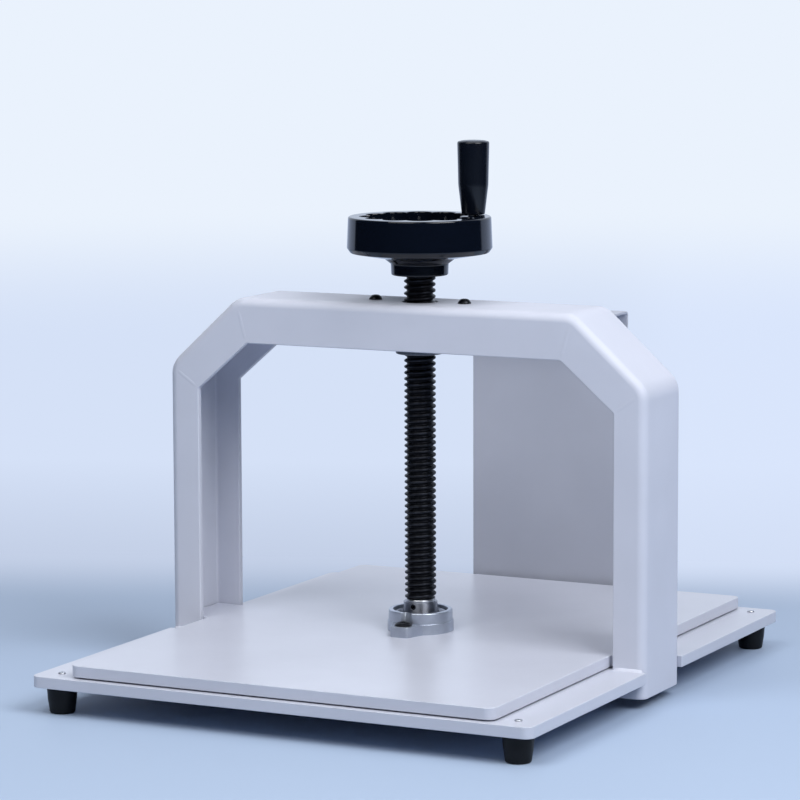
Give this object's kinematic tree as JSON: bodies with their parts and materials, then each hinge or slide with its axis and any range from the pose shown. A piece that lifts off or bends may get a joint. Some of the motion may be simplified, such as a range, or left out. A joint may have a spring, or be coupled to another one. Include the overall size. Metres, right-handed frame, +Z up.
{
  "type": "screw press",
  "caption": "Bench screw press for flattening sheets: a flat base on feet, a channel arch, and a guided platen driven by a threaded screw with a cranked handwheel.",
  "frame": {"origin": "on the floor, under the middle of the base and the screw's axis", "axes": "+Z up along the screw, +Y from the front to the back panel, +X to the right seen from the front, across the arch"},
  "size_m": [0.377, 0.4514, 0.3855],
  "materials": {
    "grey_paint": "fine powder coat, satin",
    "black_rubber": "matt moulded rubber",
    "plated_steel": "zinc-plated steel",
    "black_steel": "black oxide, oiled",
    "cast_iron": "machined iron",
    "zinc_alloy": "die-cast, satin",
    "bearing_steel": "ground and polished",
    "brass": "plain",
    "black_bakelite": "glossy moulded"
  },
  "bodies": {
    "frame": {"base_plate": "grey_paint", "foot_front_left": "black_rubber", "foot_front_right": "black_rubber", "foot_back_left": "black_rubber", "foot_back_right": "black_rubber", "foot_screws": "plated_steel", "foot_washers": "plated_steel", "foot_nuts": "plated_steel", "arch_leg_left": "grey_paint", "arch_leg_right": "grey_paint", "arch_corner_left": "grey_paint", "arch_corner_right": "grey_paint", "arch_beam": "grey_paint", "spindle_nut": "cast_iron", "nut_screws": "black_steel", "back_panel": "grey_paint", "panel_screws": "plated_steel"},
    "platen_carriage": {"platen": "grey_paint", "bearing_housing": "zinc_alloy", "bearing_bolts": "black_steel", "bearing_outer_ring": "bearing_steel", "bearing_balls": "bearing_steel", "bearing_cage": "brass", "bearing_shields": "bearing_steel"},
    "screw_and_wheel": {"screw_spindle": "black_steel", "bearing_inner_ring": "bearing_steel", "grub_screws": "black_steel", "handwheel": "black_bakelite", "hub_bush": "plated_steel", "wheel_key": "plated_steel", "wheel_washer": "plated_steel", "wheel_cap_nut": "plated_steel", "handle_bolt": "plated_steel"},
    "grip": {"handle_grip": "black_bakelite", "handle_cap": "black_bakelite"}
  },
  "joints": [
    {"name": "platen_lift", "type": "slide", "parent": "frame", "child": "platen_carriage", "axis": [0, 0, 1], "range_m": [-0.0009, 0.15]},
    {"name": "screw_turn", "type": "hinge", "parent": "platen_carriage", "child": "screw_and_wheel", "pos_m": [0, 0, 0.2], "axis": [0, 0, 1], "range_deg": [-75, 12420]},
    {"name": "grip_spin", "type": "hinge", "parent": "screw_and_wheel", "child": "grip", "pos_m": [0.02877, 0.02779, 0.358], "axis": [0, 0, 1], "continuous": true}
  ],
  "couplings": [
    {"joint": "screw_turn", "follows": "platen_lift", "rad_per_m": 1444.4}
  ]
}
